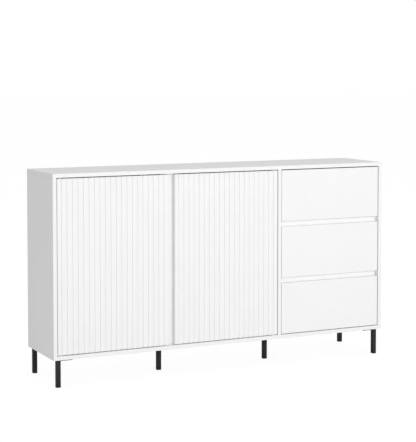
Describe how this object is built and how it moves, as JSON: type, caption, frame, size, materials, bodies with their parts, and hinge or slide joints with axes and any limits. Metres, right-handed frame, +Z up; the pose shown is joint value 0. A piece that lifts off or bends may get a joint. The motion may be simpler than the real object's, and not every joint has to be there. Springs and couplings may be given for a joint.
{
  "type": "sideboard",
  "caption": "Low white sideboard on slim square black legs, with ribbed doors beside plain drawers and open finger gaps in place of handles.",
  "frame": {"origin": "on the floor, under the middle of the sideboard's box", "axes": "+Z up, +X along the width towards the drawers, the front faces -Y"},
  "size_m": [1.55, 0.323, 0.863],
  "materials": {
    "white_board": "matt white melamine-faced board",
    "white_front": "matt white foil",
    "white_ribbed_front": "matt white foil over milled ribs",
    "white_hardboard": "white lacquered hardboard",
    "beech": "plain turned beech",
    "black_steel": "fine matt black powder coat",
    "black_plastic": "matt",
    "zinc_alloy": "cast zinc",
    "zinc_steel": "bright zinc plating",
    "runner_steel": "rolled zinc-plated strip",
    "white_plastic": "smooth",
    "magnet": "nickel plated",
    "clear_rubber": "soft translucent"
  },
  "bodies": {
    "carcass": {"back_nails": "zinc_steel", "back_sheet_doors": "white_hardboard", "back_sheet_drawers": "white_hardboard", "bottom_panel": "white_board", "cam_bolts": "zinc_steel", "cam_locks": "zinc_alloy", "carcass_screws": "zinc_steel", "catch_magnets": "magnet", "door_bumpers": "clear_rubber", "door_partition": "white_board", "door_stop_strip": "white_board", "drawer_partition": "white_board", "drawer_rail_lower": "white_board", "drawer_rail_upper": "white_board", "left_side": "white_board", "leg_back_left": "black_steel", "leg_back_right": "black_steel", "leg_foot_pads": "black_plastic", "leg_front_left": "black_steel", "leg_front_right": "black_steel", "leg_middle_left": "black_steel", "leg_middle_right": "black_steel", "pivot_bushes": "white_plastic", "right_side": "white_board", "runner_outer_channels": "runner_steel", "shelf_left": "white_board", "shelf_pins": "zinc_steel", "shelf_right": "white_board", "top_panel": "white_board", "wood_dowels": "beech"},
    "door_left_leaf": {"door_left": "white_ribbed_front", "pivot_pins_left": "zinc_steel", "strike_plates_left": "zinc_steel"},
    "door_right_leaf": {"door_right": "white_ribbed_front", "pivot_pins_right": "zinc_steel", "strike_plates_right": "zinc_steel"},
    "drawer_top": {"drawer_top_front": "white_front", "drawer_top_left_side": "white_board", "drawer_top_right_side": "white_board", "drawer_top_back": "white_board", "drawer_top_bottom": "white_hardboard", "drawer_top_inner_channels": "runner_steel", "drawer_top_fixings": "zinc_steel"},
    "cages_top": {"runner_cages_top": "runner_steel"},
    "drawer_middle": {"drawer_middle_front": "white_front", "drawer_middle_left_side": "white_board", "drawer_middle_right_side": "white_board", "drawer_middle_back": "white_board", "drawer_middle_bottom": "white_hardboard", "drawer_middle_inner_channels": "runner_steel", "drawer_middle_fixings": "zinc_steel"},
    "cages_middle": {"runner_cages_middle": "runner_steel"},
    "drawer_bottom": {"drawer_bottom_front": "white_front", "drawer_bottom_left_side": "white_board", "drawer_bottom_right_side": "white_board", "drawer_bottom_back": "white_board", "drawer_bottom_bottom": "white_hardboard", "drawer_bottom_inner_channels": "runner_steel", "drawer_bottom_fixings": "zinc_steel"},
    "cages_bottom": {"runner_cages_bottom": "runner_steel"}
  },
  "joints": [
    {"name": "left_door_swing", "type": "hinge", "parent": "carcass", "child": "door_left_leaf", "pos_m": [-0.741, -0.1505, 0.132], "axis": [0, 0, -1], "range_deg": [0, 95]},
    {"name": "right_door_swing", "type": "hinge", "parent": "carcass", "child": "door_right_leaf", "pos_m": [0.22967, -0.1505, 0.132], "axis": [0, 0, 1], "range_deg": [0, 95]},
    {"name": "top_drawer_slide", "type": "slide", "parent": "carcass", "child": "drawer_top", "axis": [0, -1, 0], "range_m": [0, 0.2]},
    {"name": "top_cage_slide", "type": "slide", "parent": "carcass", "child": "cages_top", "axis": [0, -1, 0], "range_m": [0, 0.1]},
    {"name": "middle_drawer_slide", "type": "slide", "parent": "carcass", "child": "drawer_middle", "axis": [0, -1, 0], "range_m": [0, 0.2]},
    {"name": "middle_cage_slide", "type": "slide", "parent": "carcass", "child": "cages_middle", "axis": [0, -1, 0], "range_m": [0, 0.1]},
    {"name": "bottom_drawer_slide", "type": "slide", "parent": "carcass", "child": "drawer_bottom", "axis": [0, -1, 0], "range_m": [0, 0.2]},
    {"name": "bottom_cage_slide", "type": "slide", "parent": "carcass", "child": "cages_bottom", "axis": [0, -1, 0], "range_m": [0, 0.1]}
  ],
  "couplings": [
    {"joint": "top_cage_slide", "follows": "top_drawer_slide", "ratio": 0.5},
    {"joint": "middle_cage_slide", "follows": "middle_drawer_slide", "ratio": 0.5},
    {"joint": "bottom_cage_slide", "follows": "bottom_drawer_slide", "ratio": 0.5}
  ]
}
